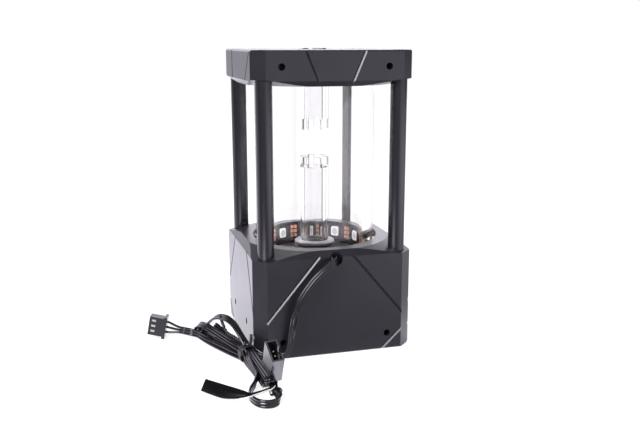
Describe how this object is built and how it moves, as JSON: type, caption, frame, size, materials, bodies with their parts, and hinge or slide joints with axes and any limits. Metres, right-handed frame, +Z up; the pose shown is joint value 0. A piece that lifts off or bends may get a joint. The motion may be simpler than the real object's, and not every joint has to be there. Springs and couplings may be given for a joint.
{
  "type": "coolant pump reservoir",
  "caption": "Coolant reservoir: a glass tube between a square pump base and a cap on round pillars, lit by a ring at its foot with a flat cable.",
  "frame": {"origin": "centre of the base's underside, on the surface it stands on", "axes": "+Z up; -Y is the face the light cable leaves by; +Y is the face with the two coolant ports"},
  "size_m": [0.1282, 0.1284, 0.1474],
  "materials": {
    "anodised_black": "bead-blasted black acetal, fine satin grain",
    "glass_clear": "clear borosilicate, polished",
    "rubber_black": "matte moulded rubber",
    "screw_steel": "black oxide on steel",
    "clear_acrylic": "clear acrylic, polished",
    "chromed_brass": "polished chrome",
    "plug_black": "satin black anodised",
    "strip_dark": "flexible circuit with dark solder mask",
    "chip_white": "white moulded package with a clear window",
    "plastic_grey": "moulded, satin",
    "plastic_dark": "glass-filled moulded plastic",
    "ceramic_white": "ground ceramic",
    "plastic_amber": "moulded high-temperature plastic",
    "ferrite": "moulded ferrite",
    "graphite": "carbon-filled bearing plastic",
    "core_steel": "stacked laminations",
    "copper_wire": "enamelled copper wire",
    "board_green": "circuit board",
    "cover_black": "satin black anodised aluminium",
    "cable_black": "satin flexible cable sheath",
    "connector_black": "moulded nylon, satin",
    "pin_silver": "tinned brass",
    "label_black": "printed film, bare, with a pale underside",
    "tie_black": "plastic-covered wire"
  },
  "bodies": {
    "reservoir": {"base_block": "anodised_black", "top_cap": "anodised_black", "glass_tube": "glass_clear", "lower_glass_seal": "rubber_black", "upper_glass_seal": "rubber_black", "pillar_front_left": "anodised_black", "pillar_front_right": "anodised_black", "pillar_rear_left": "anodised_black", "pillar_rear_right": "anodised_black", "cap_screws": "screw_steel", "base_screws": "screw_steel", "lower_inlet_tube": "clear_acrylic", "lower_collar": "chromed_brass", "lower_collar_seal": "rubber_black", "upper_inlet_tube": "clear_acrylic", "upper_collar": "chromed_brass", "upper_collar_seal": "rubber_black", "led_strip": "strip_dark", "led_chips": "chip_white", "cable_sleeve": "rubber_black", "intake_plate": "plastic_grey", "pump_housing": "plastic_dark", "pump_seal": "rubber_black", "bearing_pin": "ceramic_white", "stator_core": "core_steel", "stator_coils": "copper_wire", "driver_board": "board_green", "pump_cable_grommet": "rubber_black", "bottom_cover": "cover_black", "cover_screws": "screw_steel", "led_lead": "cable_black", "cable_hank": "cable_black", "loose_loop": "cable_black", "plug_tail": "cable_black", "header_tail": "cable_black", "header_shell": "connector_black", "header_pins": "pin_silver", "plug_housing": "connector_black", "plug_contacts": "pin_silver", "label_flag": "label_black", "twist_tie": "tie_black"},
    "rotor": {"impeller": "plastic_amber", "rotor_magnet": "ferrite", "rotor_bush": "graphite"},
    "fill_seal": {"fill_plug_seal": "rubber_black"},
    "fill_plug": {"fill_plug": "plug_black"}
  },
  "joints": [
    {"name": "rotor_spin", "type": "hinge", "parent": "reservoir", "child": "rotor", "pos_m": [0, 0, 0.015], "axis": [0, 0, 1], "continuous": true},
    {"name": "fill_plug_lift", "type": "slide", "parent": "reservoir", "child": "fill_seal", "axis": [0, 0, 1], "range_m": [0, 0.006]},
    {"name": "fill_plug_turn", "type": "hinge", "parent": "fill_seal", "child": "fill_plug", "pos_m": [0, 0, 0.1455], "axis": [0, 0, 1], "range_deg": [0, 1615]}
  ],
  "couplings": [
    {"joint": "fill_plug_turn", "follows": "fill_plug_lift", "rad_per_m": 4697.8}
  ]
}
